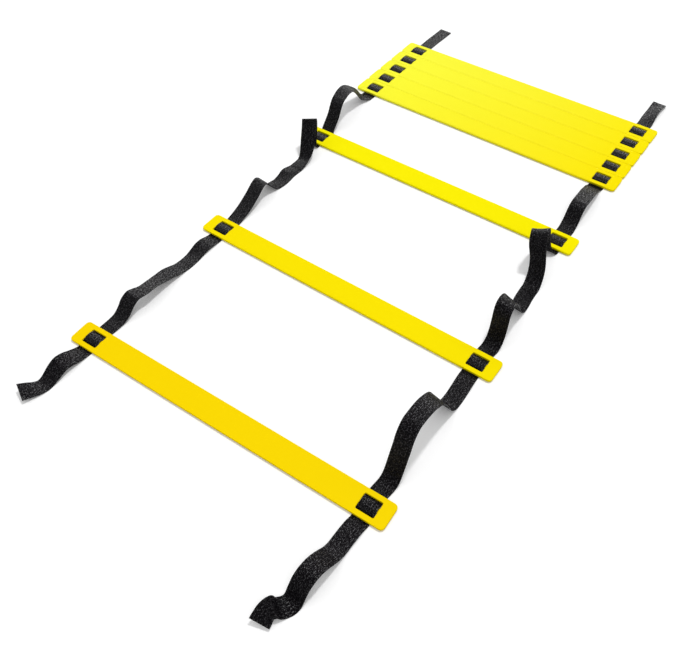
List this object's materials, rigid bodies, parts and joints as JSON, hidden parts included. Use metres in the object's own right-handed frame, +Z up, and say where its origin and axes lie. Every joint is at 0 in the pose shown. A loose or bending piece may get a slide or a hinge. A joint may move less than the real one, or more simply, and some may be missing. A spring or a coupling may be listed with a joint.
{
  "type": "agility ladder",
  "caption": "Flat footwork ladder: plastic rungs threaded on two webbing straps, some spread out and the rest pushed together at the far end. Rungs slide along the straps.",
  "frame": {"origin": "on the floor, in the middle of the box round the ladder", "axes": "+Y along the straps from the spread rungs to the packed ones, +X to the right along the rungs, +Z up from the floor"},
  "size_m": [0.5302, 1.1126, 0.0772],
  "materials": {
    "rung_plastic": "moulded yellow polypropylene, satin, with fine flow marks and rounded edges",
    "webbing": "woven black polypropylene webbing, dull, with a fine rib and firm selvedges"
  },
  "bodies": {
    "body_rung_1": {"rung_1": "rung_plastic", "left_strap_in_rung_1": "webbing", "right_strap_in_rung_1": "webbing", "left_strap_1_2_slack": "webbing", "right_strap_1_2_slack": "webbing", "left_strap_near_end": "webbing", "right_strap_near_end": "webbing"},
    "link_1_2": {"left_strap_1_2_lead": "webbing", "right_strap_1_2_lead": "webbing"},
    "body_rung_2": {"rung_2": "rung_plastic", "left_strap_in_rung_2": "webbing", "right_strap_in_rung_2": "webbing", "left_strap_2_3_slack": "webbing", "right_strap_2_3_slack": "webbing"},
    "link_2_3": {"left_strap_2_3_lead": "webbing", "right_strap_2_3_lead": "webbing"},
    "body_rung_3": {"rung_3": "rung_plastic", "left_strap_in_rung_3": "webbing", "right_strap_in_rung_3": "webbing", "left_strap_3_4_slack": "webbing", "right_strap_3_4_slack": "webbing"},
    "link_3_4": {"left_strap_3_4_lead": "webbing", "right_strap_3_4_lead": "webbing"},
    "body_rung_4": {"rung_4": "rung_plastic", "left_strap_in_rung_4": "webbing", "right_strap_in_rung_4": "webbing", "left_strap_4_5": "webbing", "right_strap_4_5": "webbing"},
    "body_rung_5": {"rung_5": "rung_plastic", "left_strap_in_rung_5": "webbing", "right_strap_in_rung_5": "webbing", "left_strap_5_6": "webbing", "right_strap_5_6": "webbing"},
    "body_rung_6": {"rung_6": "rung_plastic", "left_strap_in_rung_6": "webbing", "right_strap_in_rung_6": "webbing", "left_strap_6_7": "webbing", "right_strap_6_7": "webbing"},
    "body_rung_7": {"rung_7": "rung_plastic", "left_strap_in_rung_7": "webbing", "right_strap_in_rung_7": "webbing", "left_strap_7_8": "webbing", "right_strap_7_8": "webbing"},
    "body_rung_8": {"rung_8": "rung_plastic", "left_strap_in_rung_8": "webbing", "right_strap_in_rung_8": "webbing", "left_strap_far_end": "webbing", "right_strap_far_end": "webbing"}
  },
  "joints": [
    {"name": "spacing_1_2", "type": "slide", "parent": "body_rung_1", "child": "link_1_2", "axis": [0, 1, 0], "range_m": [-0.18, 0.14], "deforming": ["left_strap_1_2_slack", "right_strap_1_2_slack"]},
    {"name": "fold_1_2", "type": "hinge", "parent": "link_1_2", "child": "body_rung_2", "pos_m": [0.01036, -0.15645, 0.0006], "axis": [0.9999, 0.0113, 0], "range_deg": [0, 60]},
    {"name": "spacing_2_3", "type": "slide", "parent": "body_rung_2", "child": "link_2_3", "axis": [0, 1, 0], "range_m": [-0.11, 0.13], "deforming": ["left_strap_2_3_slack", "right_strap_2_3_slack"]},
    {"name": "fold_2_3", "type": "hinge", "parent": "link_2_3", "child": "body_rung_3", "pos_m": [-0.0062, 0.11045, 0.0006], "axis": [1, 0.0086, 0], "range_deg": [0, 60]},
    {"name": "spacing_3_4", "type": "slide", "parent": "body_rung_3", "child": "link_3_4", "axis": [0, 1, 0], "range_m": [-0.09, 0.23], "deforming": ["left_strap_3_4_slack", "right_strap_3_4_slack"]},
    {"name": "fold_3_4", "type": "hinge", "parent": "link_3_4", "child": "body_rung_4", "pos_m": [-0.01111, 0.28195, 0.0006], "axis": [1, 0, 0], "range_deg": [0, 60]},
    {"name": "spacing_4_5", "type": "slide", "parent": "body_rung_4", "child": "body_rung_5", "axis": [0, 1, 0], "range_m": [0, 0.36], "deforming": ["left_strap_4_5", "right_strap_4_5"]},
    {"name": "spacing_5_6", "type": "slide", "parent": "body_rung_5", "child": "body_rung_6", "axis": [0, 1, 0], "range_m": [0, 0.36], "deforming": ["left_strap_5_6", "right_strap_5_6"]},
    {"name": "spacing_6_7", "type": "slide", "parent": "body_rung_6", "child": "body_rung_7", "axis": [0, 1, 0], "range_m": [0, 0.36], "deforming": ["left_strap_6_7", "right_strap_6_7"]},
    {"name": "spacing_7_8", "type": "slide", "parent": "body_rung_7", "child": "body_rung_8", "axis": [0, 1, 0], "range_m": [0, 0.36], "deforming": ["left_strap_7_8", "right_strap_7_8"]}
  ]
}
